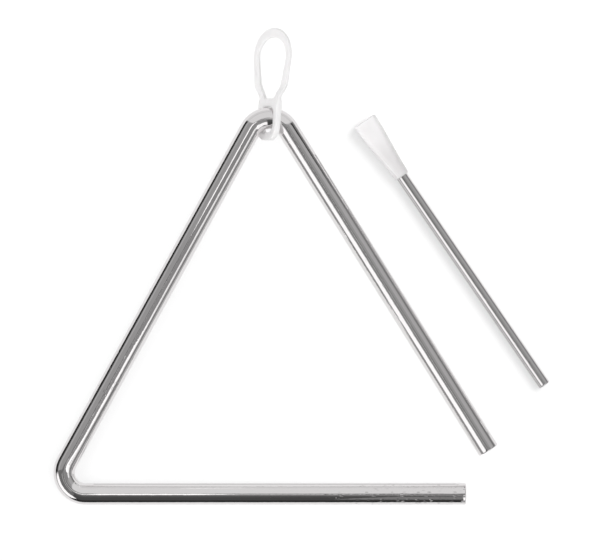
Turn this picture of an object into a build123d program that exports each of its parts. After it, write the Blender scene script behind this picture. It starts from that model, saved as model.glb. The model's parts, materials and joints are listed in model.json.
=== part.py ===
from build123d import *
from math import acos, asin, atan2, cos, degrees, hypot, radians, sin, tan
import os

# Driving dimensions, in millimetres and degrees

# Bent steel rod; lengths run between the corners where the centre lines would cross
ROD_DIAMETER = 8.0
BEND_RADIUS = 8.0
SIDE_LENGTH = 169.3
BASE_CORNER_ANGLE = 61.1
APEX_ANGLE = 60.9
BASE_ARM = 155.8
SLOPE_ARM = 155.6
ROD_END_CHAMFER = 0.4

# Eye of the moulded hanger, a flat plate that the rod passes through
EYE_CLEARANCE = 0.4
EYE_SLACK = 1.0
EYE_WALL = 2.9
EYE_THICKNESS = 2.2
EYE_CORNER = 3.2
EYE_OUTER_CORNER = 6.0
CROSSBAR_HEIGHT = 2.9
EYE_TURN = 65.0

# Finger loop above the eye, a thin strap that twists towards the table
LOOP_REACH = 32.0
LOOP_RADIUS = 8.7
LOOP_THICKNESS = 1.3
LOOP_FOOT_WIDTH = 3.4
LOOP_FOOT_INSET = 0.15
LOOP_FOOT_THICKNESS = 1.5
LOOP_SIDE_WIDTH = 2.3
LOOP_TOP_WIDTH = 3.45
LOOP_TWIST = 18.0
LOOP_TWIST_RUN = 5.5
LOOP_LEG_STEPS = 6
LOOP_ARC_STEPS = 8
MOULD_ROUND = 0.35

# Beater: a steel rod in a flared plastic grip
BEATER_DIAMETER = 4.5
BEATER_EXPOSED = 94.6
BEATER_SOCKET = 12.0
BEATER_CHAMFER = 0.3
GRIP_LENGTH = 25.2
GRIP_NECK_WALL = 0.7
GRIP_END_WIDTH = 9.2
GRIP_END_THICKNESS = 5.0
GRIP_END_CORNER = 1.9
GRIP_END_ROUND = 0.9
GRIP_NECK_ROUND = 0.4
GRIP_NECK_FLAT = 0.1
GRIP_STEPS = 4

# Where the beater lies: beside the sloping arm, measured from that arm's free end
BEATER_SPACING = 30.8
BEATER_SETBACK = 9.5
BEATER_SKEW = 2.35

# Height of the hanger's lowest edges over the table
TABLE_GAP = 0.05

# Largest share of a plate's side that a corner's radius takes, and of a wall that a round takes
CORNER_LIMIT = 0.45
WALL_ROUND_LIMIT = 0.6


def smooth_step(value):
    """Ease from 0 to 1 with level ends"""
    value = min(max(value, 0.0), 1.0)
    return value * value * (3 - 2 * value)


def smooth_step_slope(value):
    """Slope of smooth_step"""
    return 6 * value * (1 - value) if 0 < value < 1 else 0.0


def heading(angle):
    """Unit vector in the table's plane at an angle from +X"""
    return Vector(cos(radians(angle)), sin(radians(angle)), 0)


def chamfer_ends(bar, ends, size):
    """Chamfer the rim round each end point of a round bar"""
    rims = [
        edge
        for edge in bar.edges().filter_by(GeomType.CIRCLE)
        if any((edge.arc_center - end).length < size for end in ends)
    ]
    return chamfer(rims, size)


def bent_rod(points, diameter, bend_radius):
    """Round bar along straight runs that tangent bends join"""
    runs = []
    bends = []
    start = points[0]
    for before, corner, after in zip(points, points[1:], points[2:]):
        way_in = (corner - before).normalized()
        way_out = (after - corner).normalized()
        turn = way_in.get_angle(way_out)
        setback = bend_radius * tan(radians(turn / 2))
        bend_start = corner - way_in * setback
        bend_end = corner + way_out * setback
        turn_axis = way_in.cross(way_out).normalized()
        centre = bend_start + turn_axis.cross(way_in) * bend_radius
        section = Plane(bend_start, z_dir=way_in) * Circle(diameter / 2)
        bends.append(revolve(section, Axis(centre, turn_axis), turn))
        runs.append((start, bend_start))
        start = bend_end
    runs.append((start, points[-1]))
    bars = [
        extrude(Plane(a, z_dir=b - a) * Circle(diameter / 2), (b - a).length)
        for a, b in runs
    ]
    return bars[0].fuse(*bars[1:], *bends)


# Triangle's corners in its own plane, base along +X
base_corner = Vector(0, 0, 0)
base_end = base_corner + heading(0) * BASE_ARM
apex_corner = base_corner + heading(BASE_CORNER_ANGLE) * SIDE_LENGTH
slope_angle = BASE_CORNER_ANGLE + 180 + APEX_ANGLE
slope_end = apex_corner + heading(slope_angle) * SLOPE_ARM

# Top of the apex bend, where the rod runs along X through the hanger's eye
bisector = heading(BASE_CORNER_ANGLE + 180 + APEX_ANGLE / 2)
apex_bend_centre = apex_corner + bisector * (BEND_RADIUS / sin(radians(APEX_ANGLE / 2)))
apex_top = apex_bend_centre + Vector(0, BEND_RADIUS, 0)

# Eye's opening: wide enough for the rod to cross the turned plate
rod_radius = ROD_DIAMETER / 2
turn_sin = sin(radians(EYE_TURN))
turn_cos = cos(radians(EYE_TURN))
eye_width = (ROD_DIAMETER + 2 * EYE_CLEARANCE + EYE_THICKNESS * turn_cos) / turn_sin
eye_top = rod_radius + EYE_CLEARANCE
eye_bottom = -(rod_radius + EYE_CLEARANCE + EYE_SLACK)
eye_outer_width = eye_width + 2 * EYE_WALL
crossbar_top = eye_top + CROSSBAR_HEIGHT


def drop_of(half_width, thickness, turn, rounding):
    """Depth of an edge below the middle of a strap turned out of the table's plane"""
    across = (half_width - rounding) * sin(radians(turn))
    return across + (thickness / 2 - rounding) * cos(radians(turn)) + rounding


# The crossbar's sharp lower corner and the loop's lower side both lie on the table
loop_centre_reach = LOOP_REACH - LOOP_RADIUS
eye_drop = drop_of(eye_outer_width / 2, EYE_THICKNESS, EYE_TURN, 0)
loop_half_width = LOOP_RADIUS + LOOP_SIDE_WIDTH / 2
loop_drop = drop_of(loop_half_width, LOOP_THICKNESS, EYE_TURN - LOOP_TWIST, MOULD_ROUND)
hanger_fall = (loop_drop - eye_drop) / (loop_centre_reach - crossbar_top)
hanger_pitch = degrees(asin(hanger_fall / turn_cos))
eye_centre_height = TABLE_GAP + eye_drop - hanger_fall * crossbar_top

# The rod lies on the base bar and, at the apex, in the raised eye
rod_tilt = degrees(asin((eye_centre_height - rod_radius) / apex_top.Y))
rod_place = Pos(0, 0, rod_radius) * Rot(rod_tilt, 0, 0)
eye_centre = (rod_place * Pos(apex_top)).position


def make_triangle_rod():
    """The one bent bar, open at the corner between its two free ends"""
    bar = bent_rod([base_end, base_corner, apex_corner, slope_end], ROD_DIAMETER, BEND_RADIUS)
    return rod_place * chamfer_ends(bar, [base_end, slope_end], ROD_END_CHAMFER)


def make_eye_plate():
    """Flat plate with the rod's opening, in the hanger's own plane"""
    plate_bottom = eye_bottom - EYE_WALL
    plate_height = crossbar_top - plate_bottom
    outline = Pos(0, (crossbar_top + plate_bottom) / 2) * Rectangle(eye_outer_width, plate_height)
    lower = outline.vertices().group_by(Axis.Y)[0]
    outline = fillet(lower, min(EYE_OUTER_CORNER, CORNER_LIMIT * eye_outer_width))
    opening_height = eye_top - eye_bottom
    corner = min(EYE_CORNER, CORNER_LIMIT * eye_width, CORNER_LIMIT * opening_height)
    opening = Pos(0, (eye_top + eye_bottom) / 2) * RectangleRounded(eye_width, opening_height, corner)
    plate = extrude(outline - opening, EYE_THICKNESS / 2, both=True)
    rims = plate.faces().filter_by(Axis.Z).edges().group_by(Axis.Y)[:-1]
    return fillet([edge for group in rims for edge in group], MOULD_ROUND)


def loop_stations():
    """Points (u, v, heading, width) along the strap's middle, from foot to foot on the crossbar"""
    foot_u = eye_outer_width / 2 - LOOP_FOOT_INSET - LOOP_FOOT_WIDTH / 2
    fall = crossbar_top - loop_centre_reach
    first = degrees(atan2(fall, foot_u) + acos(LOOP_RADIUS / hypot(foot_u, fall)))
    tangent_u = LOOP_RADIUS * cos(radians(first))
    tangent_v = loop_centre_reach + LOOP_RADIUS * sin(radians(first))
    leg = []
    for step in range(LOOP_LEG_STEPS):
        share = step / LOOP_LEG_STEPS
        width = LOOP_FOOT_WIDTH + (LOOP_SIDE_WIDTH - LOOP_FOOT_WIDTH) * smooth_step(share)
        u = foot_u + (tangent_u - foot_u) * share
        v = crossbar_top + (tangent_v - crossbar_top) * share
        leg.append((u, v, first + 90 if step else 90, width))
    arc = []
    for step in range(LOOP_ARC_STEPS + 1):
        angle = first + (180 - 2 * first) * step / LOOP_ARC_STEPS
        crown = max(sin(radians(angle)), 0.0) ** 2
        width = LOOP_SIDE_WIDTH + (LOOP_TOP_WIDTH - LOOP_SIDE_WIDTH) * crown
        u = LOOP_RADIUS * cos(radians(angle))
        v = loop_centre_reach + LOOP_RADIUS * sin(radians(angle))
        arc.append((u, v, angle + 90, width))
    other_leg = [(-u, v, -way, width) for u, v, way, width in reversed(leg)]
    return leg + arc + other_leg


def loop_section(u, v, way, width):
    """Strap's rounded section at one station of the twisted loop"""
    share = (v - crossbar_top) / LOOP_TWIST_RUN
    twist = radians(LOOP_TWIST) * smooth_step(share)
    twist_slope = radians(LOOP_TWIST) * smooth_step_slope(share) / LOOP_TWIST_RUN
    thickness = LOOP_FOOT_THICKNESS + (LOOP_THICKNESS - LOOP_FOOT_THICKNESS) * smooth_step(share)

    def carry(across, along):
        """In-plane direction carried onto the twisted strap"""
        swing = u * twist_slope * along
        return Vector(
            across * cos(twist) - swing * sin(twist),
            along,
            -across * sin(twist) - swing * cos(twist),
        )

    along = carry(cos(radians(way)), sin(radians(way))).normalized()
    across = carry(sin(radians(way)), -cos(radians(way)))
    across = (across - along * across.dot(along)).normalized()
    place = Vector(u * cos(twist), v, -u * sin(twist))
    return Plane(place, x_dir=across, z_dir=along) * RectangleRounded(width, thickness, MOULD_ROUND)


def make_hanger():
    """Eye and finger loop as one moulding, lying turned on the table"""
    sections = [loop_section(*station) for station in loop_stations()]
    crown = LOOP_LEG_STEPS + LOOP_ARC_STEPS // 2
    joints = [0, LOOP_LEG_STEPS, crown, LOOP_LEG_STEPS + LOOP_ARC_STEPS, len(sections) - 1]
    spans = [loft(sections[a : b + 1]) for a, b in zip(joints, joints[1:])]
    hanger = make_eye_plate().fuse(*spans)
    across = Vector(turn_cos, 0, turn_sin)
    pitch_sin = sin(radians(hanger_pitch))
    along = Vector(-turn_sin * pitch_sin, cos(radians(hanger_pitch)), turn_cos * pitch_sin)
    return Plane(eye_centre, x_dir=across, z_dir=across.cross(along)).location * hanger


# Beater's own axis runs along +X from the tip to the grip's wide end
neck_diameter = BEATER_DIAMETER + 2 * GRIP_NECK_WALL
beater_lift = degrees(asin((neck_diameter - BEATER_DIAMETER) / 2 / BEATER_EXPOSED))
beater_way = slope_angle + BEATER_SKEW + 180
slope_way = heading(slope_angle)
slope_side = heading(slope_angle + 90)
beater_tip = slope_end - slope_way * BEATER_SETBACK + slope_side * BEATER_SPACING
beater_place = (
    Pos(beater_tip.X, beater_tip.Y, BEATER_DIAMETER / 2) * Rot(0, 0, beater_way) * Rot(0, -beater_lift, 0)
)


def across_beater(distance):
    """Plane square to the beater's axis, X across its width and Y up"""
    return Plane((distance, 0, 0), x_dir=(0, 1, 0), z_dir=(1, 0, 0))


def make_beater_rod():
    """Plain striking rod, square cut at the tip, set into the grip"""
    length = BEATER_EXPOSED + BEATER_SOCKET
    bar = extrude(across_beater(0) * Circle(BEATER_DIAMETER / 2), length)
    ends = [Vector(0, 0, 0), Vector(length, 0, 0)]
    return beater_place * chamfer_ends(bar, ends, BEATER_CHAMFER)


def grip_section(share):
    """Grip's section at a share of its length, round at the neck and a flat rounded bar at the end"""
    flare = smooth_step(share)
    neck_corner = neck_diameter / 2 - GRIP_NECK_FLAT
    end_corner = min(GRIP_END_CORNER, CORNER_LIMIT * GRIP_END_THICKNESS)
    width = neck_diameter + (GRIP_END_WIDTH - neck_diameter) * flare
    thickness = neck_diameter + (GRIP_END_THICKNESS - neck_diameter) * flare
    corner = neck_corner + (end_corner - neck_corner) * flare
    return across_beater(BEATER_EXPOSED + GRIP_LENGTH * share) * RectangleRounded(width, thickness, corner)


def make_beater_grip():
    """Moulded grip, flared from its neck to its end, with the rod's blind bore"""
    grip = loft([grip_section(step / GRIP_STEPS) for step in range(GRIP_STEPS + 1)])
    neck_round = min(GRIP_NECK_ROUND, WALL_ROUND_LIMIT * GRIP_NECK_WALL)
    grip = fillet(grip.faces().sort_by(Axis.X)[-1].edges(), GRIP_END_ROUND)
    grip = fillet(grip.faces().sort_by(Axis.X)[0].edges(), neck_round)
    bore = extrude(across_beater(BEATER_EXPOSED) * Circle(BEATER_DIAMETER / 2), BEATER_SOCKET)
    return beater_place * (grip - bore)


pieces = {
    "triangle_rod": make_triangle_rod(),
    "hanger_loop": make_hanger(),
    "beater_rod": make_beater_rod(),
    "beater_grip": make_beater_grip(),
}

# Origin at the middle of the whole set, on the table
set_box = Compound(children=[Compound(piece.solids()) for piece in pieces.values()]).bounding_box()
to_origin = Pos(-set_box.center().X, -set_box.center().Y, 0)
eye_pivot = (to_origin * Pos(eye_centre)).position

os.makedirs("parts", exist_ok=True)
for name, piece in pieces.items():
    placed = to_origin * piece
    placed.label = name
    export_step(placed, os.path.join("parts", name + ".step"))
    box = placed.bounding_box()
    print(name, "solids", len(placed.solids()), "volume", round(placed.volume, 1), "box", box.min, box.max)
print("eye pivot", eye_pivot, "rod tilt", round(rod_tilt, 3), "hanger pitch", round(hanger_pitch, 3))
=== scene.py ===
import bmesh
import bpy
import json
from math import acos, atan, atan2, cos, degrees, hypot, pi, radians, sin, tan
from mathutils import Matrix, Vector


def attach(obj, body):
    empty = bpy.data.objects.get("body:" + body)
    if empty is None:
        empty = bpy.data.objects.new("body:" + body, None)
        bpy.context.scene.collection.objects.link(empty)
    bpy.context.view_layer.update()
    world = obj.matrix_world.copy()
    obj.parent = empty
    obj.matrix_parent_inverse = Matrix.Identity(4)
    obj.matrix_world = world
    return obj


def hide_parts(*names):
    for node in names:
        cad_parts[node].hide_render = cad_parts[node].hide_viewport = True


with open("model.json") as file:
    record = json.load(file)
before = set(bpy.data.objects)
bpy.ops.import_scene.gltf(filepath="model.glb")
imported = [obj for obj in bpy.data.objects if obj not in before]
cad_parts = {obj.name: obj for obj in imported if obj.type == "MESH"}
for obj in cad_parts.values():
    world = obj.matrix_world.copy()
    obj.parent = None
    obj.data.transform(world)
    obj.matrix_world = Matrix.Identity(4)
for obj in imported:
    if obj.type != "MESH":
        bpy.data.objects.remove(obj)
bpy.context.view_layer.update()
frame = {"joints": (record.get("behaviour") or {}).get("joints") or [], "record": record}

# Sizes are in metres and angles in degrees; MM turns millimetres into metres
MM = 0.001

# Bent bar: side and corners as its centre lines would cross, and the two free arms
SIDE_LENGTH = 169.3 * MM
BASE_ARM = 155.8 * MM
SLOPE_ARM = 155.6 * MM
BASE_CORNER_ANGLE = 61.1
APEX_ANGLE = 60.9
BEND_RADIUS = 8.0 * MM
BAR_END_ROUND = 0.4 * MM
BAR_SIDES = 48
RUN_STUB = 1.0 * MM
BEND_STEPS = 24

# Hanger: the eye's opening and walls, then the finger loop's strap
EYE_HALF_WIDTH = 5.368 * MM
EYE_TOP = 4.4 * MM
EYE_BOTTOM = -5.4 * MM
EYE_WALL = 2.9 * MM
EYE_CORNER = 3.2 * MM
EYE_THICKNESS = 2.2 * MM
CROSSBAR_HEIGHT = 2.9 * MM
CROSSBAR_BEVEL = 1.0 * MM
CORNER_STEPS = 8
LOOP_REACH = 32.0 * MM
LOOP_RADIUS = 8.7 * MM
LOOP_THICKNESS = 1.3 * MM
LOOP_FOOT_WIDTH = 3.4 * MM
LOOP_FOOT_INSET = 0.15 * MM
LOOP_FOOT_THICKNESS = 1.5 * MM
LOOP_FOOT_FILLET = 1.0 * MM
LOOP_SIDE_WIDTH = 2.3 * MM
LOOP_TOP_WIDTH = 3.45 * MM
LOOP_LEG_STEPS = 10
LOOP_ARC_STEPS = 20
MOULD_ROUND = 0.35 * MM
HANGER_TURN = 65.0
HANGER_PITCH = -3.863
LOOP_TWIST = 18.0
LOOP_TWIST_RUN = 5.5 * MM

# Beater: where its tip lies, the way it points, its rod and its grip
BEATER_TIP = Vector((91.059 * MM, -44.386 * MM, 2.25 * MM))
BEATER_HEADING = 124.35
BEATER_LIFT = 0.424
BEATER_RADIUS = 2.25 * MM
BEATER_EXPOSED = 94.6 * MM
BEATER_SOCKET = 12.0 * MM
BEATER_END_ROUND = 0.45 * MM
GRIP_LENGTH = 25.2 * MM
GRIP_NECK_RADIUS = 2.95 * MM
GRIP_LIP_LENGTH = 1.2 * MM
GRIP_LIP_HEIGHT = 0.6 * MM
GRIP_END_WIDTH = 9.2 * MM
GRIP_END_THICKNESS = 5.0 * MM
GRIP_END_CORNER = 1.9 * MM
GRIP_END_ROUND = 0.9 * MM
GRIP_BORE_GAP = 0.02 * MM
GRIP_CORNER_POINTS = 12
GRIP_STEPS = 24
GRIP_FLAT_START = 0.3

# Meshing: steps of a rounded rim, how near points count as one, and the edges that stay sharp
ROUND_STEPS = 4
SAME_POINT = 0.001 * MM
SAME_LEVEL = 0.01 * MM
SMOOTH_ANGLE = 40.0
MOULD_SHARP_ANGLE = 60.0

# Where the camera stands: straight above, far enough to flatten the view
PHOTO_WIDTH = 600
PHOTO_SCALE = 0.374 * MM
CAMERA_AIM = Vector((-0.56 * MM, -5.054 * MM, 4.0 * MM))
CAMERA_DISTANCE = 2.4


def mount(name):
    """One of the record's mounts, by name"""
    return next(entry for entry in frame["record"]["mounts"] if entry["name"] == name)


def joint(name):
    """One of the record's joints, by name"""
    return next(entry for entry in frame["joints"] if entry["name"] == name)


def smooth_step(value):
    """Ease from 0 to 1 with level ends"""
    value = min(max(value, 0.0), 1.0)
    return value * value * (3 - 2 * value)


def turned(angle):
    """Unit vector in the XY plane at an angle from +X"""
    return Vector((cos(radians(angle)), sin(radians(angle)), 0))


def clear_selection():
    """Leave no object selected, so that the next operator acts on the new piece alone"""
    bpy.ops.object.select_all(action="DESELECT")


# Shader wiring

def set_stops(ramp, stops):
    """Give a colour ramp its stops, each a place from 0 to 1 and a grey"""
    ramp.elements.remove(ramp.elements[-1])
    for place, grey in stops:
        stop = ramp.elements[0] if place == 0 else ramp.elements.new(place)
        stop.position = place
        stop.color = (grey, grey, grey, 1)


class Wire:
    """A shader socket that takes part in Python arithmetic"""

    def __init__(self, tree, socket=None):
        self.tree = tree
        self.socket = socket

    def node(self, kind, settings=None, inputs=None, output=0):
        """Add a node, set it up, fill or link its sockets, and return one of its outputs"""
        node = self.tree.nodes.new(kind)
        for name, value in (settings or {}).items():
            if name == "stops":
                set_stops(node.color_ramp, value)
            else:
                setattr(node, name, value)
        for name, value in (inputs or {}).items():
            if isinstance(value, Wire):
                self.tree.links.new(value.socket, node.inputs[name])
            else:
                node.inputs[name].default_value = value
        return Wire(self.tree, node.outputs[output]) if node.outputs else None

    def math(self, operation, *values):
        """Sum, product or other plain operation on sockets and numbers"""
        return self.node("ShaderNodeMath", {"operation": operation}, dict(enumerate(values)))

    def __add__(self, other):
        return self.math("ADD", self, other)

    def __sub__(self, other):
        return self.math("SUBTRACT", self, other)

    def __rsub__(self, other):
        return self.math("SUBTRACT", other, self)

    def __mul__(self, other):
        return self.math("MULTIPLY", self, other)

    def __truediv__(self, other):
        return self.math("DIVIDE", self, other)

    __radd__ = __add__
    __rmul__ = __mul__

    def ramp(self, start, end, low=0.0, high=1.0):
        """Smooth change from low, at the value start, to high, at the value end"""
        settings = {"interpolation_type": "SMOOTHSTEP"}
        inputs = {"Value": self, "From Min": start, "From Max": end, "To Min": low, "To Max": high}
        return self.node("ShaderNodeMapRange", settings, inputs)

    def toward(self, other, share):
        """This value where share is 0, the other where it is 1"""
        return self * (1 - share) + share * other

    def bands(self, bands, soft, span):
        """Grey steps over a span of values: each band has the value where it ends, and its grey"""
        stops = [(0, bands[0][1])]
        for (end, grey), (_, next_grey) in zip(bands, bands[1:]):
            stops += [((end - soft) / span, grey), ((end + soft) / span, next_grey)]
        return self.node("ShaderNodeValToRGB", {"stops": stops}, {"Fac": self / span})

    def noise(self, vector, fineness, detail):
        """Cloudy noise, finer where fineness is higher"""
        inputs = {"Vector": vector, "Scale": fineness, "Detail": detail}
        return self.node("ShaderNodeTexNoise", None, inputs)

    def parts(self, vector):
        """X, Y and Z of a vector"""
        return [self.node("ShaderNodeSeparateXYZ", None, {0: vector}, axis) for axis in "XYZ"]

    def mix(self, first, second, share, kind="MIX"):
        """First colour where share is 0, the second where it is 1"""
        settings = {"data_type": "RGBA", "blend_type": kind}
        return self.node("ShaderNodeMix", settings, {"Factor": share, 6: first, 7: second}, output=2)


def open_tree(owner):
    """Empty node tree of a material or world, ready for wiring"""
    owner.use_nodes = True
    owner.node_tree.nodes.clear()
    return Wire(owner.node_tree)


def new_material(name):
    """New material and its empty tree"""
    material = bpy.data.materials.new(name)
    return material, open_tree(material)


def seen_by(tree, kind):
    """1 for a kind of ray: Camera from the lens, Transmission through something clear"""
    return tree.node("ShaderNodeLightPath", None, None, "Is " + kind + " Ray")


# Camera

def add_camera():
    """Camera looking straight down, with the photograph's scale at the bar's height"""
    data = bpy.data.cameras.new("camera")
    data.sensor_fit = "HORIZONTAL"
    data.lens = data.sensor_width * CAMERA_DISTANCE / (PHOTO_WIDTH * PHOTO_SCALE)
    camera = bpy.data.objects.new("camera", data)
    camera.location = CAMERA_AIM + Vector((0, 0, CAMERA_DISTANCE))
    bpy.context.scene.collection.objects.link(camera)
    bpy.context.scene.camera = camera


# Studio

FLOOR_HALF_SIZE = 6.0
FLOOR_DROP = 0.05 * MM
FLOOR_DIFFUSE = 0.36
FLOOR_GLOW = 0.46
FLOOR_BOUNCE = 0.2

# Sheets round the table that only the metal sees, from one side: their corners in millimetres, turning
# anticlockwise on the lit side, and their brightness
CARDS = (
    ("table_sheet", ((-128, -115, -0.04), (118, -115, -0.04), (30, 140, -0.04), (-75, 150, -0.04)), 0.86),
    # The darker sheets along the base and beside the beater are painted shadows: the floor's shadow as
    # the metal sees it
    ("base_rim_painted_shadow", ((-78, -77, -0.03), (58, -77, -0.03), (58, -71, -0.03), (-78, -71, -0.03)), 0.62),
    ("beater_sheet", ((94, -49, -0.03), (114, -35, -0.03), (44, 68, -0.03), (24, 54, -0.03)), 0.95),
    ("beater_painted_shadow", ((94, -49, -0.03), (24, 54, -0.03), (12, 46, -0.03), (82, -57, -0.03)), 0.5),
    ("base_line", ((-88, -90, 60), (-76, -84, 60), (-40, -84, 60), (-24, -89, 60), (-40, -94, 60),
                   (-76, -95, 60)), 1.25),
    ("apex_line", ((-45, 24, 60), (-27, 59, 60), (-18, 54, 60), (-37, 20, 60), (-48, 10, 60)), 1.15),
    ("left_band", ((135, -239, 500), (158, -196, 500), (468, -352, 500), (438, -405, 500)), 1.15),
    ("arm_streak", ((113, 83, 48), (89, 121, 96), (89, 121, 44)), 0.03),
    ("corner_light", ((-132, -78, 19), (-124, -88, 31), (-104, -115, 31), (-97, -124, 19),
                      (-103, -117, 8), (-126, -86, 8)), 1.15),
    ("corner_shade", ((-112, -76, 44), (-93, -101, 44), (-93, -101, 17), (-112, -76, 17)), 0.16),
    ("base_end_grey", ((38, -127, 77), (64, -127, 77), (64, -127, 28), (12, -127, 28)), 0.2),
)

# Walls as the metal sees them: the bearings of a wall's two edges, turned from +X towards +Y, then its
# bands from overhead down. A band has the slant from overhead where it ends, and its brightness
WALL_EDGE = 2.5
BAND_EDGE = 0.9
HALF_TURN = 180.0
LEAST_REACH = 0.0001
WALLS = (
    (10, 38, ((6, 0.21), (31, 0.32), (61, 0.42), (73, 0.36), (88, 0.17), (HALF_TURN, 0.32))),
    (38, 140, ((3, 0.34), (7, 0.55), (69, 0.74), (73, 0.52), (HALF_TURN, 0.70))),
    (140, 184, ((8, 0.17), (52, 0.33), (68, 0.43), (75, 0.18), (HALF_TURN, 0.03))),
    (184, 196, ((9, 0.14), (44, 0.15), (HALF_TURN, 0.38))),
    (196, 238, ((12, 0.15), (19, 0.20), (27, 0.42), (65, 1.14), (70, 0.60), (88, 0.25),
                (HALF_TURN, 0.5))),
    (238, 276, ((7, 0.55), (13, 0.34), (21, 0.17), (38, 0.09), (74, 0.065), (HALF_TURN, 0.03))),
    (276, 318, ((8, 0.2), (40, 0.28), (72, 1.1), (HALF_TURN, 0.5))),
    (318, 370, ((7, 0.15), (38, 0.26), (51, 0.98), (60, 0.5), (76, 0.21), (HALF_TURN, 0.45))),
)


def add_floor():
    """White floor that glows to the lens, keeps a soft shadow and lights the undersides a little"""
    clear_selection()
    bpy.ops.mesh.primitive_plane_add(size=2 * FLOOR_HALF_SIZE, location=(0, 0, -FLOOR_DROP))
    floor = bpy.context.object
    floor.name = "floor"
    floor.visible_glossy = False
    material, tree = new_material("white_floor")
    share = tree.math("MAXIMUM", seen_by(tree, "Camera"), seen_by(tree, "Transmission"))
    glow = share * (FLOOR_GLOW - FLOOR_BOUNCE) + FLOOR_BOUNCE
    paint = tree.node("ShaderNodeBsdfDiffuse", None, {"Color": (FLOOR_DIFFUSE,) * 3 + (1,)})
    shine = tree.node("ShaderNodeEmission", None, {"Strength": glow})
    both = tree.node("ShaderNodeAddShader", None, {0: paint, 1: shine})
    tree.node("ShaderNodeOutputMaterial", None, {"Surface": both})
    floor.data.materials.append(material)
    return floor


def add_card(name, corners, brightness):
    """Sheet, lit on one side and clear on the other, that shows in the metal alone"""
    clear_selection()
    bpy.ops.mesh.primitive_circle_add(vertices=len(corners), fill_type="NGON")
    card = bpy.context.object
    card.name = name
    for vertex, corner in zip(card.data.vertices, corners):
        vertex.co = Vector(corner) * MM
    material, tree = new_material(name)
    back = tree.node("ShaderNodeNewGeometry", None, None, "Backfacing")
    shine = tree.node("ShaderNodeEmission", None, {"Strength": brightness})
    clear = tree.node("ShaderNodeBsdfTransparent")
    sheet = tree.node("ShaderNodeMixShader", None, {0: back, 1: shine, 2: clear})
    tree.node("ShaderNodeOutputMaterial", None, {"Surface": sheet})
    card.data.materials.append(material)
    card.visible_camera = False
    card.visible_diffuse = False
    card.visible_transmission = False
    card.visible_shadow = False


def add_studio():
    """White room to the lens; in the metal, the pale walls, dark gaps and lit panels of a studio"""
    world = bpy.data.worlds.new("studio")
    bpy.context.scene.world = world
    tree = open_tree(world)
    way = tree.node("ShaderNodeTexCoord", None, None, "Generated")
    east, north, height = tree.parts(way)
    slant = tree.math("ARCCOSINE", height) * degrees(1)
    reach = tree.math("MAXIMUM", tree.math("SQRT", east * east + north * north), LEAST_REACH)
    light = None
    for first, last, bands in WALLS:
        middle = radians(first + last) / 2
        half_width = (last - first) / 2
        facing = (east * cos(middle) + north * sin(middle)) / reach
        aside = tree.math("ARCCOSINE", facing) * degrees(1)
        share = aside.ramp(half_width + WALL_EDGE, half_width - WALL_EDGE)
        wall = slant.bands(bands, BAND_EDGE, HALF_TURN)
        light = light.toward(wall, share) if light else wall
    light = light.toward(1.0, seen_by(tree, "Camera"))
    sky = tree.node("ShaderNodeBackground", None, {"Color": (1, 1, 1, 1), "Strength": light})
    tree.node("ShaderNodeOutputWorld", None, {"Surface": sky})


def add_lamp(name, place, size, power, lit=(), blockers=()):
    """Soft lamp, itself unseen; named pieces alone are lit by it, or block it"""
    data = bpy.data.lights.new(name, "AREA")
    data.shape = "DISK"
    data.size = size
    data.energy = power
    lamp = bpy.data.objects.new(name, data)
    lamp.location = place
    lamp.rotation_euler = (-Vector(place)).to_track_quat("-Z", "Y").to_euler()
    lamp.visible_camera = False
    lamp.visible_glossy = False
    bpy.context.scene.collection.objects.link(lamp)
    for link, pieces in (("receiver_collection", lit), ("blocker_collection", blockers)):
        if pieces:
            group = bpy.data.collections.new(name + "_" + link)
            for piece in pieces:
                group.objects.link(piece)
            setattr(lamp.light_linking, link, group)


# Finishes

BAR_CHROME = (0.872, 0.852, 0.854, 1)
# The beater's plating is the bar's painted darker: painted shade, so that the walls it reflects come out
# darker
SHADED_BEATER_CHROME = (0.80, 0.784, 0.786, 1)
PIT_COLOUR = (0.34, 0.32, 0.31, 1)

# Plating: how fine its ripples, swells, worn patches and dents are, and how high they stand
DRAWN_STRETCH = 0.3
WORN_LENGTH = 70.0 * MM
RIPPLE_FINENESS = 1700.0
SWELL_FINENESS = 160.0
PATCH_FINENESS = 60.0
DENT_FINENESS = 1500.0
RIPPLE_HEIGHT = 0.25
WORN_RIPPLE_HEIGHT = 0.15
SWELL_HEIGHT = 0.6
DENT_DEPTH = 1.6
PLATING_RELIEF = 0.04 * MM


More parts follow.
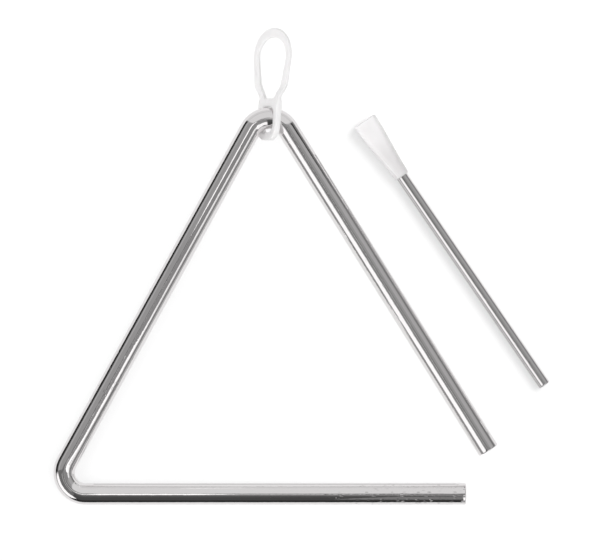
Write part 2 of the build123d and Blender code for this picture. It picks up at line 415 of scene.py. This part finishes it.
def make_chrome(name, colour, seed, wear):
    """Bright plating over drawn steel: ripples and fine dents, and more of both near the first end"""
    material, tree = new_material(name)
    drawn = tree.node("ShaderNodeAttribute", {"attribute_name": "drawn"}, None, "Vector")
    length = tree.parts(drawn)[2]
    stretch = {0: drawn, "Location": (0, 0, seed), "Scale": (1, 1, DRAWN_STRETCH)}
    along = tree.node("ShaderNodeMapping", None, stretch)
    ripple = tree.noise(along, RIPPLE_FINENESS, 2.0)
    swell = tree.noise(along, SWELL_FINENESS, 2.0)
    patch = tree.noise(along, PATCH_FINENESS, 2.0)
    dent_inputs = {"Vector": along, "Scale": DENT_FINENESS}
    distance = tree.node("ShaderNodeTexVoronoi", None, dent_inputs, "Distance")
    cell = tree.node("ShaderNodeTexVoronoi", None, dent_inputs, "Color")
    chance = tree.node("ShaderNodeSeparateColor", None, {0: cell}, "Red")
    worn_patch = patch.ramp(0.52, 0.68, 0.05, 0.7)
    worn_end = length.ramp(WORN_LENGTH, 0.3 * WORN_LENGTH)
    worn = tree.math("MAXIMUM", worn_patch, worn_end)
    dent = distance.ramp(0.45, 0.05) * chance.ramp(0.6, 0.75) * worn * wear
    rippled = ripple * (RIPPLE_HEIGHT + worn * wear * WORN_RIPPLE_HEIGHT)
    height = rippled + swell * SWELL_HEIGHT - dent * DENT_DEPTH
    bump_inputs = {"Strength": 1.0, "Distance": PLATING_RELIEF, "Height": height}
    inputs = {
        "Base Color": tree.mix(colour, PIT_COLOUR, dent * 0.25),
        "Metallic": 1.0,
        "Roughness": swell.ramp(0.3, 0.75, 0.03, 0.07) + dent * 0.1,
        "Normal": tree.node("ShaderNodeBump", None, bump_inputs),
    }
    shader = tree.node("ShaderNodeBsdfPrincipled", None, inputs)
    tree.node("ShaderNodeOutputMaterial", None, {"Surface": shader})
    return material


# Plastics: their colours, how rough they are, how deep light goes into them, the run over which the grip
# thickens and the painted shade at its neck fades out, and how fine and high their clouding and grain are
WHITE = (0.90, 0.887, 0.889, 1)
PALE_WHITE = (0.93, 0.914, 0.918, 1)
# Darker white for the grip's neck: painted shade of the rod inside it
NECK_SHADE_WHITE = (0.82, 0.804, 0.808, 1)
CLOUD_TINT = (0.95, 0.95, 0.95, 1)
HANGER_ROUGHNESS = 0.42
GRIP_ROUGHNESS = 0.15
HANGER_DEPTH = 2.6 * MM
GRIP_DEPTH = 1.2 * MM
GRIP_NECK_SHADE_RUN = (BEATER_EXPOSED + 2 * MM, BEATER_EXPOSED + 22 * MM)
CLOUD_FINENESS = 220.0
GRAIN_FINENESS = 5200.0
CLOUD_HEIGHT = 2.0
PLASTIC_RELIEF = 0.004 * MM

# The grip's painted highlight line, a glint along its side: where it starts, how far it lies off the axis
# there, how it drifts off, its length and width, its colour and how plain it is
HIGHLIGHT_LINE_START = 95.6 * MM
HIGHLIGHT_LINE_SIDE = 1.6 * MM
HIGHLIGHT_LINE_DRIFT = 0.114
HIGHLIGHT_LINE_LENGTH = 16.0 * MM
HIGHLIGHT_LINE_WIDTH = 0.2 * MM
HIGHLIGHT_LINE_COLOUR = (0.99, 0.98, 0.98, 1)
GRIP_HIGHLIGHT_LINE = 0.9


def make_plastic(name, colour, neck_shade_colour, neck_shade_run, roughness, depth, highlight_strength):
    """White moulded plastic that lets some light in: painted shade at a thin end, a thick end and a
    painted highlight line
    """
    material, tree = new_material(name)
    moulded = tree.node("ShaderNodeAttribute", {"attribute_name": "moulded"}, None, "Vector")
    length, side, up = tree.parts(moulded)
    cloud = tree.noise(moulded, CLOUD_FINENESS, 3.0)
    grain = tree.noise(moulded, GRAIN_FINENESS, 1.0)
    relief = grain + cloud * CLOUD_HEIGHT
    bump_inputs = {"Strength": 1.0, "Distance": PLASTIC_RELIEF, "Height": relief}
    # Painted highlight: a pale line along the grip's side, fading out along its length
    past = length - HIGHLIGHT_LINE_START
    aside = tree.math("ABSOLUTE", side - HIGHLIGHT_LINE_SIDE - past * HIGHLIGHT_LINE_DRIFT)
    fade = past.ramp(HIGHLIGHT_LINE_LENGTH, 0.5 * HIGHLIGHT_LINE_LENGTH) * up.ramp(0, MM)
    line = aside.ramp(HIGHLIGHT_LINE_WIDTH, 0.3 * HIGHLIGHT_LINE_WIDTH) * fade
    # Painted shade: darker towards the neck, paler towards the thick end; then the painted highlight line
    # on top
    tone = tree.mix(tree.mix(neck_shade_colour, colour, length.ramp(*neck_shade_run)), HIGHLIGHT_LINE_COLOUR, line * highlight_strength)
    shade = tree.mix(tone, CLOUD_TINT, cloud.ramp(0.35, 0.7, 0.0, 0.5), "MULTIPLY")
    inputs = {
        "Base Color": shade,
        "Roughness": cloud.ramp(0.3, 0.7, roughness - 0.05, roughness + 0.06),
        "IOR": 1.5,
        "Specular IOR Level": 0.15,
        "Subsurface Weight": 0.6,
        "Subsurface Radius": (depth, depth, depth),
        "Subsurface Scale": 1.0,
        "Normal": tree.node("ShaderNodeBump", None, bump_inputs),
    }
    shader = tree.node("ShaderNodeBsdfPrincipled", None, inputs)
    tree.node("ShaderNodeOutputMaterial", None, {"Surface": shader})
    return material


# Modelling by hand: each step acts on what the last one left selected

def start_piece(name):
    """Name the primitive just added and open it for editing"""
    piece = bpy.context.object
    piece.name = name
    piece.data.name = name
    bpy.ops.object.mode_set(mode="EDIT")
    bpy.ops.mesh.select_mode(type="EDGE")
    return piece


def pick_edges(piece, test):
    """Select the edges whose two end points both pass a test"""
    mesh = bmesh.from_edit_mesh(piece.data)
    bpy.ops.mesh.select_all(action="DESELECT")
    for edge in mesh.edges:
        edge.select_set(all(test(vertex.co) for vertex in edge.verts))
    bmesh.update_edit_mesh(piece.data)


def extend(piece, old_points, new_points):
    """Extrude the selected edges and put each new vertex where its own new point is"""
    bpy.ops.mesh.extrude_region_move()
    mesh = bmesh.from_edit_mesh(piece.data)
    for vertex in [vertex for vertex in mesh.verts if vertex.select]:
        nearest = min(range(len(old_points)), key=lambda index: (old_points[index] - vertex.co).length)
        vertex.co = new_points[nearest]
    bmesh.update_edit_mesh(piece.data)


def carry_on(piece, rungs):
    """Carry the edges of the first rung or ring on along all the others"""
    for old_points, new_points in zip(rungs, rungs[1:]):
        pick_edges(piece, lambda point: min((point - other).length for other in old_points) < SAME_POINT)
        extend(piece, old_points, new_points)


def mark_length(piece, distance):
    """Note on the selected vertices how far along the straight bar they were"""
    mesh = bmesh.from_edit_mesh(piece.data)
    layer = mesh.verts.layers.float_vector["drawn"]
    for vertex in mesh.verts:
        if vertex.select:
            vertex[layer] = (*vertex[layer].xy, distance)
    bmesh.update_edit_mesh(piece.data)


def start_round_bar(name, radius, place, way):
    """Open ring at a bar's first end, facing along the bar, with the round of its section noted"""
    clear_selection()
    turn = way.to_track_quat("Z", "Y")
    bpy.ops.mesh.primitive_circle_add(
        vertices=BAR_SIDES, radius=radius, fill_type="NOTHING", location=place, rotation=turn.to_euler()
    )
    bpy.ops.object.transform_apply(location=True, rotation=True, scale=True)
    piece = start_piece(name)
    mesh = bmesh.from_edit_mesh(piece.data)
    layer = mesh.verts.layers.float_vector.new("drawn")
    for vertex in mesh.verts:
        offset = turn.inverted() @ (vertex.co - place)
        vertex[layer] = (offset.x, offset.y, 0)
    bmesh.update_edit_mesh(piece.data)
    bpy.ops.mesh.select_all(action="SELECT")
    return piece


def draw_out(piece, way, run, start):
    """Draw the open ring out along a straight run, with a ring near each end to keep its shading level"""
    length = start
    for part in (RUN_STUB, run - 2 * RUN_STUB, RUN_STUB):
        bpy.ops.mesh.extrude_region_move(TRANSFORM_OT_translate={"value": way * part})
        length += part
        mark_length(piece, length)
    return length


def round_end(piece, middle, way, radius, rounding):
    """Round over the rim at one end of a bar and close its flat end with a grid"""
    pick_edges(piece, lambda point: abs((point - middle).dot(way)) < SAME_LEVEL)
    reached = 0.0
    width = radius
    for step in range(1, ROUND_STEPS + 1):
        angle = pi / 2 * step / ROUND_STEPS
        forward = rounding * sin(angle)
        new_width = radius - rounding * (1 - cos(angle))
        centre = middle + way * forward
        bpy.ops.mesh.extrude_region_move(TRANSFORM_OT_translate={"value": way * (forward - reached)})
        bpy.ops.transform.resize(value=(new_width / width,) * 3, center_override=centre)
        reached = forward
        width = new_width
    bpy.ops.mesh.fill_grid(span=BAR_SIDES // 4)


def keep_moulded_shape(piece):
    """Note each point's place in the moulding's own axes, before it is twisted or laid down"""
    moulded = piece.data.attributes.new("moulded", "FLOAT_VECTOR", "POINT")
    for entry, vertex in zip(moulded.data, piece.data.vertices):
        entry.vector = vertex.co


def finish_piece(piece, place, material, body, node):
    """Close the edit, set the piece in its place and hand it to its body"""
    bpy.ops.mesh.select_all(action="SELECT")
    bpy.ops.mesh.remove_doubles(threshold=SAME_POINT)
    bpy.ops.mesh.normals_make_consistent(inside=False)
    bpy.ops.object.mode_set(mode="OBJECT")
    piece.matrix_world = place
    bpy.ops.object.transform_apply(location=True, rotation=True, scale=True)
    bpy.ops.object.shade_smooth_by_angle(angle=radians(SMOOTH_ANGLE))
    piece.data.materials.clear()
    piece.data.materials.append(material)
    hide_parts(node)
    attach(piece, body)
    return piece


# Bent bar

def make_triangle_bar(material):
    """Ring at the base's free end, drawn out and turned round both bends to the sloping arm's end"""
    corner = Vector((0, 0, 0))
    base_end = corner + turned(0) * (BASE_ARM - BAR_END_ROUND)
    apex = corner + turned(BASE_CORNER_ANGLE) * SIDE_LENGTH
    slope_way = BASE_CORNER_ANGLE + APEX_ANGLE - 180
    base_turn = 180 - BASE_CORNER_ANGLE
    apex_turn = 180 - APEX_ANGLE
    base_setback = BEND_RADIUS * tan(radians(base_turn / 2))
    apex_setback = BEND_RADIUS * tan(radians(apex_turn / 2))
    bar_radius = mount("base_bar_end")["dims"]["r_mm"] * MM
    runs = [
        (180, BASE_ARM - BAR_END_ROUND - base_setback, base_turn),
        (BASE_CORNER_ANGLE, SIDE_LENGTH - base_setback - apex_setback, apex_turn),
        (slope_way, SLOPE_ARM - BAR_END_ROUND - apex_setback, 0),
    ]
    piece = start_round_bar("triangle_bar", bar_radius, base_end, turned(180))
    place = base_end
    length = 0.0
    for way, run, turn in runs:
        place = place + turned(way) * run
        length = draw_out(piece, turned(way), run, length)
        bend_centre = place + turned(way - 90) * BEND_RADIUS
        step = turn / BEND_STEPS
        for _ in range(BEND_STEPS if turn else 0):
            bpy.ops.mesh.spin(steps=1, angle=radians(step), center=bend_centre, axis=(0, 0, 1))
            length += BEND_RADIUS * radians(step)
            mark_length(piece, length)
        place = bend_centre + turned(way - turn + 90) * BEND_RADIUS
    round_end(piece, base_end, turned(0), bar_radius, BAR_END_ROUND)
    slope_end = apex + turned(slope_way) * (SLOPE_ARM - BAR_END_ROUND)
    round_end(piece, slope_end, turned(slope_way), bar_radius, BAR_END_ROUND)
    arm = mount("slope_arm_end")
    base = mount("base_bar_end")
    tilt = atan(arm["axis"][2] / arm["axis"][1])
    straight_end = base["pos_m"][0] + base["dims"]["length_mm"] * MM / 2
    lift = Matrix.Translation((straight_end + BAR_END_ROUND - BASE_ARM, *base["pos_m"][1:]))
    lay = lift @ Matrix.Rotation(tilt, 4, "X")
    finish_piece(piece, lay, material, "triangle", "triangle_rod")


# Beater

beater_lay = (
    Matrix.Translation(BEATER_TIP)
    @ Matrix.Rotation(radians(BEATER_HEADING), 4, "Z")
    @ Matrix.Rotation(radians(-BEATER_LIFT), 4, "Y")
)


def make_beater_shaft(material):
    """Straight rod with a rounded rim at the tip and at the end in the grip"""
    way = Vector((1, 0, 0))
    first = way * BEATER_END_ROUND
    run = BEATER_EXPOSED + BEATER_SOCKET - 2 * BEATER_END_ROUND
    piece = start_round_bar("beater_shaft", BEATER_RADIUS, first, way)
    draw_out(piece, way, run, 0)
    round_end(piece, first, -way, BEATER_RADIUS, BEATER_END_ROUND)
    round_end(piece, first + way * run, way, BEATER_RADIUS, BEATER_END_ROUND)
    return finish_piece(piece, beater_lay, material, "beater", "beater_rod")


def grip_ring(distance, half_width, half_thickness, corner):
    """Rounded rectangle square to the beater's axis"""
    points = []
    for quarter, (side, top) in enumerate(((1, 1), (-1, 1), (-1, -1), (1, -1))):
        for step in range(GRIP_CORNER_POINTS):
            angle = pi / 2 * (quarter + (step + 0.5) / GRIP_CORNER_POINTS)
            y = side * (half_width - corner) + corner * cos(angle)
            z = top * (half_thickness - corner) + corner * sin(angle)
            points.append(Vector((distance, y, z)))
    return points


def grip_section(share, shrink):
    """Half width, half thickness and corner of the grip at a share of its length, drawn in by shrink"""
    flare = smooth_step(share)
    squaring = smooth_step((share - GRIP_FLAT_START) / (1 - GRIP_FLAT_START))
    half_width = GRIP_NECK_RADIUS + (GRIP_END_WIDTH / 2 - GRIP_NECK_RADIUS) * flare
    half_thickness = GRIP_NECK_RADIUS + (GRIP_END_THICKNESS / 2 - GRIP_NECK_RADIUS) * flare
    corner = GRIP_NECK_RADIUS + (GRIP_END_CORNER - GRIP_NECK_RADIUS) * squaring
    return half_width - shrink, half_thickness - shrink, min(corner, half_thickness) - shrink


def make_beater_grip(material):
    """Grip from the foot of its bore, out over the neck's lip and along the flare to its end"""
    bore = BEATER_RADIUS + GRIP_BORE_GAP
    neck = BEATER_EXPOSED
    far = BEATER_EXPOSED + GRIP_LENGTH
    round_bore = (bore, bore, bore)
    rings = [grip_ring(neck + BEATER_SOCKET, *round_bore), grip_ring(neck, *round_bore)]
    for step in range(ROUND_STEPS + 1):
        angle = pi / 2 * step / ROUND_STEPS
        shrink = GRIP_LIP_HEIGHT * (1 - sin(angle))
        forward = GRIP_LIP_LENGTH * (1 - cos(angle))
        rings.append(grip_ring(neck + forward, *grip_section(forward / GRIP_LENGTH, shrink)))
    for step in range(1, GRIP_STEPS):
        reach = GRIP_LIP_LENGTH + (GRIP_LENGTH - GRIP_END_ROUND - GRIP_LIP_LENGTH) * step / GRIP_STEPS
        rings.append(grip_ring(neck + reach, *grip_section(reach / GRIP_LENGTH, 0)))
    for step in range(ROUND_STEPS + 1):
        angle = pi / 2 * step / ROUND_STEPS
        shrink = GRIP_END_ROUND * (1 - cos(angle))
        back = GRIP_END_ROUND * (1 - sin(angle))
        rings.append(grip_ring(far - back, *grip_section(1 - back / GRIP_LENGTH, shrink)))
    clear_selection()
    sides = 4 * GRIP_CORNER_POINTS
    bpy.ops.mesh.primitive_circle_add(
        vertices=sides, radius=bore, fill_type="NGON", rotation=(0, pi / 2, 0)
    )
    bpy.ops.object.transform_apply(location=True, rotation=True, scale=True)
    piece = start_piece("beater_grip_moulding")
    bpy.ops.mesh.select_all(action="SELECT")
    mesh = bmesh.from_edit_mesh(piece.data)
    for vertex in mesh.verts:
        turn = atan2(vertex.co.z, vertex.co.y) / (2 * pi) * sides
        vertex.co = rings[0][round(turn - 0.5) % sides]
    bmesh.update_edit_mesh(piece.data)
    bpy.ops.mesh.select_mode(type="EDGE")
    carry_on(piece, rings)
    bpy.ops.mesh.edge_face_add()
    bpy.ops.object.mode_set(mode="OBJECT")
    keep_moulded_shape(piece)
    bpy.ops.object.mode_set(mode="EDIT")
    return finish_piece(piece, beater_lay, material, "beater", "beater_grip")


# Hanger, drawn flat with X across it and Y from the eye to the loop

eye_half_outer = EYE_HALF_WIDTH + EYE_WALL
crossbar_top = EYE_TOP + CROSSBAR_HEIGHT
loop_centre = LOOP_REACH - LOOP_RADIUS
foot_middle = eye_half_outer - LOOP_FOOT_INSET - LOOP_FOOT_WIDTH / 2


def flat(x, y):
    """Point of the flat moulding"""
    return Vector((x, y, 0))


def eye_rungs():
    """Inner and outer points of the rungs of the eye's right half, from its bottom up to the crossbar"""
    turn_x = EYE_HALF_WIDTH - EYE_CORNER
    low_turn = EYE_BOTTOM + EYE_CORNER
    high_turn = EYE_TOP - EYE_CORNER
    foot_in = foot_middle - LOOP_FOOT_WIDTH / 2 - LOOP_FOOT_FILLET
    foot_out = foot_middle + LOOP_FOOT_WIDTH / 2
    rungs = [(flat(0, EYE_BOTTOM), flat(0, EYE_BOTTOM - EYE_WALL))]
    for step in range(CORNER_STEPS + 1):
        ray = turned(90 * step / CORNER_STEPS - 90)
        middle = flat(turn_x, low_turn)
        rungs.append((middle + ray * EYE_CORNER, middle + ray * (EYE_CORNER + EYE_WALL)))
    outer = [
        flat(eye_half_outer, high_turn),
        flat(eye_half_outer, high_turn + 0.5 * EYE_CORNER),
        flat(eye_half_outer, EYE_TOP),
        flat(eye_half_outer - LOOP_FOOT_INSET / 4, (EYE_TOP + crossbar_top) / 2),
        flat(foot_out, crossbar_top),
        flat(foot_middle, crossbar_top),
        flat(foot_in, crossbar_top),
        flat(turn_x, crossbar_top),
    ]
    for step, point in enumerate(outer):
        ray = turned(90 * step / (len(outer) - 1))
        rungs.append((flat(turn_x, high_turn) + ray * EYE_CORNER, point))
    rungs.append((flat(0, EYE_TOP), flat(0, crossbar_top)))
    return rungs


def loop_rungs():
    """Outer, middle and inner point of each rung of the loop's right half, from its foot to its crown"""
    fall = crossbar_top - loop_centre
    first = degrees(atan2(fall, foot_middle) + acos(LOOP_RADIUS / hypot(foot_middle, fall)))
    foot = flat(foot_middle, crossbar_top)
    tangent = flat(0, loop_centre) + turned(first) * LOOP_RADIUS
    stations = []
    leg = (tangent - foot).length
    heights = [0.0] + [LOOP_FOOT_FILLET * (1 - cos(radians(angle))) for angle in (30, 50, 70, 90)]
    heights += [LOOP_FOOT_FILLET + (leg - LOOP_FOOT_FILLET) * step / LOOP_LEG_STEPS
                for step in range(1, LOOP_LEG_STEPS)]
    for height in heights:
        share = height / leg
        width = LOOP_FOOT_WIDTH + (LOOP_SIDE_WIDTH - LOOP_FOOT_WIDTH) * smooth_step(share)
        left = max(LOOP_FOOT_FILLET - height, 0.0)
        flare = LOOP_FOOT_FILLET - (LOOP_FOOT_FILLET ** 2 - left ** 2) ** 0.5
        out = turned(first * smooth_step(height / LOOP_FOOT_WIDTH))
        stations.append((foot.lerp(tangent, share), out, width, flare))
    for step in range(LOOP_ARC_STEPS + 1):
        angle = first + (90 - first) * step / LOOP_ARC_STEPS
        crown = max(sin(radians(angle)), 0.0) ** 2
        width = LOOP_SIDE_WIDTH + (LOOP_TOP_WIDTH - LOOP_SIDE_WIDTH) * crown
        stations.append((flat(0, loop_centre) + turned(angle) * LOOP_RADIUS, turned(angle), width, 0.0))
    return [(place + out * width / 2, place, place - out * (width / 2 + flare))
            for place, out, width, flare in stations]


def twist_loop(piece):
    """Thin the strap from the crossbar's upper part on, and turn it over a short run above that"""
    for vertex in piece.data.vertices:
        rise = vertex.co.y - crossbar_top
        share = smooth_step(rise / LOOP_TWIST_RUN)
        step = smooth_step(1 + rise / CROSSBAR_BEVEL)
        thickness = EYE_THICKNESS + (LOOP_FOOT_THICKNESS - EYE_THICKNESS) * step
        thickness += (LOOP_THICKNESS - LOOP_FOOT_THICKNESS) * share
        turn = Matrix.Rotation(radians(LOOP_TWIST) * share, 3, "Y")
        vertex.co = turn @ Vector((*vertex.co.xy, vertex.co.z * thickness / EYE_THICKNESS))


def apply_modifier(piece, kind, **settings):
    """Add a modifier, set it and apply it"""
    modifier = piece.modifiers.new(kind.lower(), kind)
    for name, value in settings.items():
        setattr(modifier, name, value)
    bpy.ops.object.modifier_apply(modifier=modifier.name)


def make_hanger(material):
    """Half of the flat moulding as strips, mirrored, thickened, rounded, twisted and laid on the table"""
    eye = eye_rungs()
    clear_selection()
    first_in, first_out = eye[0]
    next_in, next_out = eye[1]
    middle = (first_in + next_out) / 2
    bpy.ops.mesh.primitive_plane_add(size=EYE_WALL, location=middle)
    bpy.ops.object.transform_apply(location=True, rotation=True, scale=True)
    piece = start_piece("hanger_moulding")
    mesh = bmesh.from_edit_mesh(piece.data)
    for vertex in mesh.verts:
        right = vertex.co.x > middle.x
        inner = vertex.co.y > middle.y
        vertex.co = (next_in if inner else next_out) if right else (first_in if inner else first_out)
    bmesh.update_edit_mesh(piece.data)
    carry_on(piece, eye[1:])
    carry_on(piece, loop_rungs())
    bpy.ops.mesh.select_all(action="SELECT")
    bpy.ops.mesh.normals_make_consistent(inside=False)
    bpy.ops.object.mode_set(mode="OBJECT")
    apply_modifier(piece, "MIRROR", use_clip=True, merge_threshold=SAME_POINT)
    apply_modifier(piece, "SOLIDIFY", thickness=EYE_THICKNESS, offset=0.0)
    sharp = {"limit_method": "ANGLE", "angle_limit": radians(MOULD_SHARP_ANGLE)}
    apply_modifier(piece, "BEVEL", width=MOULD_ROUND, segments=ROUND_STEPS, loop_slide=False, **sharp)
    keep_moulded_shape(piece)
    twist_loop(piece)
    turn = radians(HANGER_TURN)
    pitch = radians(HANGER_PITCH)
    across = Vector((cos(turn), 0, sin(turn)))
    along = Vector((-sin(turn) * sin(pitch), cos(pitch), cos(turn) * sin(pitch)))
    lay = Matrix((across, along, across.cross(along))).transposed().to_4x4()
    lay.translation = joint("hanger_swing")["pos_m"]
    bpy.ops.object.mode_set(mode="EDIT")
    return finish_piece(piece, lay, material, "hanger", "hanger_loop")


# The scene

bpy.context.scene.view_settings.view_transform = "Standard"
add_camera()
floor = add_floor()
for card in CARDS:
    add_card(*card)
add_studio()
make_triangle_bar(make_chrome("bar_chrome", BAR_CHROME, 0.0, 1.0))
hanger_white = make_plastic("hanger_white", WHITE, WHITE, (0, 1), HANGER_ROUGHNESS, HANGER_DEPTH, 0.0)
hanger = make_hanger(hanger_white)
beater_shaft = make_beater_shaft(make_chrome("beater_chrome", SHADED_BEATER_CHROME, 0.7, 0.25))
grip_white = make_plastic(
    "grip_white", PALE_WHITE, NECK_SHADE_WHITE, GRIP_NECK_SHADE_RUN, GRIP_ROUGHNESS, GRIP_DEPTH, GRIP_HIGHLIGHT_LINE
)
beater_grip = make_beater_grip(grip_white)
add_lamp("shadow_lamp", (0.541, 0.393, 0.602), 0.7, 11.0, [floor], [beater_shaft, beater_grip])
add_lamp("left_fill", (-0.8, -0.15, 0.75), 0.9, 4.6)
add_lamp("top_fill", (0.35, -0.25, 1.0), 0.8, 3.7)
add_lamp("hanger_fill", (0.2, -0.8, 0.4), 0.6, 1.2, [hanger])
